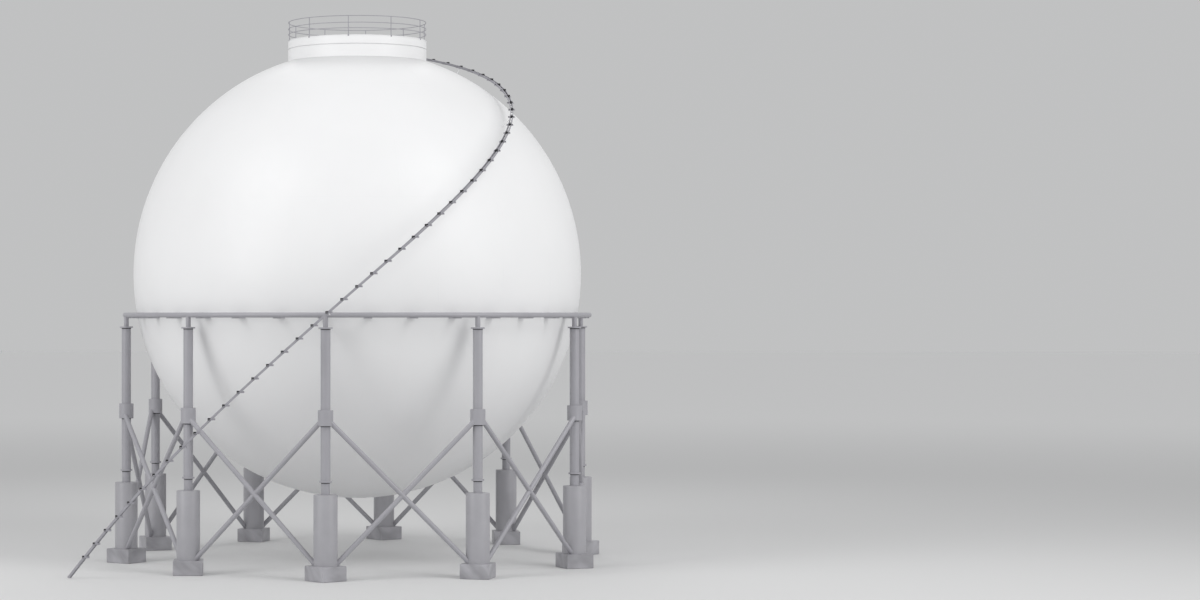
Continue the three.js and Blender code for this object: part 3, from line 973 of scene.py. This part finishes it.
def make_stair():
    """The flights, each with stringers, treads, rest plates, clip blocks painted near-black as shade
    and, from the ring on, struts.
    """
    rests = [step for step in range(LAST_STEP + 1) if is_rest(step)]
    ring_rest = min(rests, key=lambda step: abs(stair.point(step_distance(step)).z - RING_HEIGHT))
    first = 1
    for flight in range(1, FLIGHTS + 1):
        is_top = flight == FLIGHTS
        last = LAST_STEP if is_top else flight * RESTS_PER_FLIGHT * STEPS_PER_REST + FIRST_REST - 2
        start = 0 if flight == 1 else step_distance(first - 0.5)
        end = stair.length if is_top else step_distance(last + 0.5)
        stringers, treads, rest_plates, shade_clips, struts = (Mesher() for _ in range(5))
        for hand in (-1, 1):
            stringer(stringers, start, end, hand)
        for step in range(first, last + 1):
            distance = step_distance(step)
            if not is_rest(step):
                grating(treads, distance)
                continue
            rest_plate(rest_plates, distance)
            # A clip block painted near-black as the shadow under the rest plate
            rest_shade_clip(shade_clips, distance)
            if step >= ring_rest and (step - ring_rest) % (STRUT["every"] * STEPS_PER_REST) == 0:
                strut(struts, distance)
        piece(f"stair_stringers_{flight}", stringers, "stair", [f"stair_flight_{flight}"])
        piece(f"stair_treads_{flight}", treads, "stair")
        piece(f"stair_rest_plates_{flight}", rest_plates, "stair")
        piece(f"stair_clips_{flight}", shade_clips, "dark")
        if struts.faces:
            piece(f"stair_struts_{flight}", struts, "white")
        first = last + 1


def make_landing():
    """A plate on two ribs between the stair's head and the collar."""
    mesher = Mesher()
    inner, outer = COLLAR_RADIUS + GAP, LANDING["outer"]
    half = LANDING["plate"] / 2
    middle = AXIS + UP * (DECK_HEIGHT - half)
    frames = []
    for i in range(LANDING["steps"] + 1):
        azimuth = lerp(LANDING["start"], LANDING["end"], i / LANDING["steps"])
        frames.append((middle, polar(1, azimuth, 0, Vector()), UP))
    section = [(inner, -half), (outer, -half), (outer, half), (inner, half)]
    mesher.sweep(section, frames)
    top = DECK_HEIGHT - LANDING["plate"]
    reach = LANDING_RIB["reach"]
    outline = [
        (inner, top),
        (reach, top),
        (reach, top - LANDING_RIB["tip"]),
        (inner, top - LANDING_RIB["root"]),
    ]
    for azimuth in (LANDING["start"] + LANDING_RIB["inset"], LANDING["end"] - LANDING_RIB["inset"]):
        across = polar(LANDING_RIB["plate"] / 2, azimuth + 90, 0, Vector())
        rings = []
        for side in (-across, across):
            rings.append([polar(radius, azimuth, height) + side for radius, height in outline])
        mesher.loft(rings)
    piece("stair_landing_plate", mesher, "stair", ["stair_landing"])


make_shell()
make_welds()
make_ring()
make_columns()
make_piers()
make_braces()
make_collar()
make_railing()
make_stair()
make_landing()


# Floor, light and camera

FLOOR = {"radius": 900, "sides": 96, "drop": 0.002}
FLOOR_FADE = {"near": 30, "far": 230, "near_grey": 0.7, "far_grey": 0.98}
CAMERA_DISTANCE = 155.17
CAMERA_HEIGHT = RING_HEIGHT
FRAME_WIDTH = 1200
FRAME_HEIGHT = 600
SENSOR = 36
VIEW_END = 2000
# Places in the picture: the focal length, the tank's axis and the horizon
FOCAL_PIXELS = 2661.5
AXIS_PIXEL = 357.25
HORIZON_PIXEL = 315.0
WORLD_COLOUR = (0.78, 0.785, 0.79, 1)
WORLD_STRENGTH = 0.68
LAMP_SIZE = 48
LAMP_DISTANCE = 90
LAMP_SPREAD = math.radians(120)
# Azimuth, elevation and share of a white face's brightness
LAMPS = {
    "left_high": (-53, 38, 0.185),
    "left_low": (-53, 9, 0.19),
    "right_high": (47, 39, 0.24),
    "right_low": (52, 9, 0.165),
    "back": (180, 45, 0.114),
}


def make_floor():
    """A pale round floor that grows lighter far off."""
    mesh = bpy.data.meshes.new("floor")
    work = bmesh.new()
    bmesh.ops.create_circle(work, cap_ends=True, radius=FLOOR["radius"], segments=FLOOR["sides"])
    work.to_mesh(mesh)
    work.free()
    floor = bpy.data.objects.new("floor", mesh)
    floor.location = AXIS - UP * FLOOR["drop"]
    bpy.context.scene.collection.objects.link(floor)
    grey = FLOOR_FADE["near_grey"]
    shader = Shader("floor", colour=(grey, grey, grey), roughness=0.9)
    fade = shader.nodes.new("ShaderNodeMapRange")
    fade.interpolation_type = "SMOOTHSTEP"
    fade.inputs["From Min"].default_value = FLOOR_FADE["near"]
    fade.inputs["From Max"].default_value = FLOOR_FADE["far"]
    fade.inputs["To Min"].default_value = FLOOR_FADE["near_grey"]
    fade.inputs["To Max"].default_value = FLOOR_FADE["far_grey"]
    shader.links.new(shader.length(shader.place), fade.inputs["Value"])
    shader.links.new(fade.outputs["Result"], shader.principled.inputs["Base Color"])
    shader.vary_roughness(shader.noise(scale=0.3, detail=2), amount=0.02)
    mesh.materials.append(shader.material)


def make_world():
    world = bpy.data.worlds.new("studio")
    world.use_nodes = True
    background = world.node_tree.nodes["Background"]
    background.inputs["Color"].default_value = WORLD_COLOUR
    background.inputs["Strength"].default_value = WORLD_STRENGTH
    bpy.context.scene.world = world


def make_lamp(name, azimuth, elevation, share):
    """A large soft lamp aimed at the shell. share is its part of a white face's brightness."""
    # A narrower spread brightens what lies ahead, and the gain takes that out again
    half = LAMP_SPREAD / 2
    slope = LAMP_SIZE / 2 / LAMP_DISTANCE
    gain = (math.tan(half) - slope) / (math.tan(half) - half)
    data = bpy.data.lights.new(name, "AREA")
    data.shape = "DISK"
    data.size = LAMP_SIZE
    data.spread = LAMP_SPREAD
    data.energy = share * math.pi**2 * LAMP_DISTANCE**2 / gain
    lamp = bpy.data.objects.new(name, data)
    lift = math.radians(elevation)
    way = polar(math.cos(lift), azimuth, math.sin(lift), Vector())
    lamp.location = AXIS + UP * SHELL_CENTRE + way * LAMP_DISTANCE
    lamp.rotation_mode = "QUATERNION"
    lamp.rotation_quaternion = way.to_track_quat("Z", "Y")
    lamp.visible_camera = False
    bpy.context.scene.collection.objects.link(lamp)


def make_camera():
    """A level camera in front of the tank's axis, shifted so that the tank stands as in the picture."""
    data = bpy.data.cameras.new("camera")
    data.sensor_width = SENSOR
    data.lens = FOCAL_PIXELS * SENSOR / FRAME_WIDTH
    data.clip_end = VIEW_END
    camera = bpy.data.objects.new("camera", data)
    data.shift_x = (FRAME_WIDTH / 2 - AXIS_PIXEL) / FRAME_WIDTH
    data.shift_y = (HORIZON_PIXEL - FRAME_HEIGHT / 2) / FRAME_WIDTH
    camera.location = polar(CAMERA_DISTANCE, 0, CAMERA_HEIGHT)
    camera.rotation_euler = (math.pi / 2, 0, 0)
    bpy.context.scene.collection.objects.link(camera)
    bpy.context.scene.camera = camera


make_floor()
make_world()
for lamp_name, (lamp_azimuth, lamp_elevation, lamp_share) in LAMPS.items():
    make_lamp(f"lamp_{lamp_name}", lamp_azimuth, lamp_elevation, lamp_share)
make_camera()
bpy.context.scene.view_settings.view_transform = "Standard"
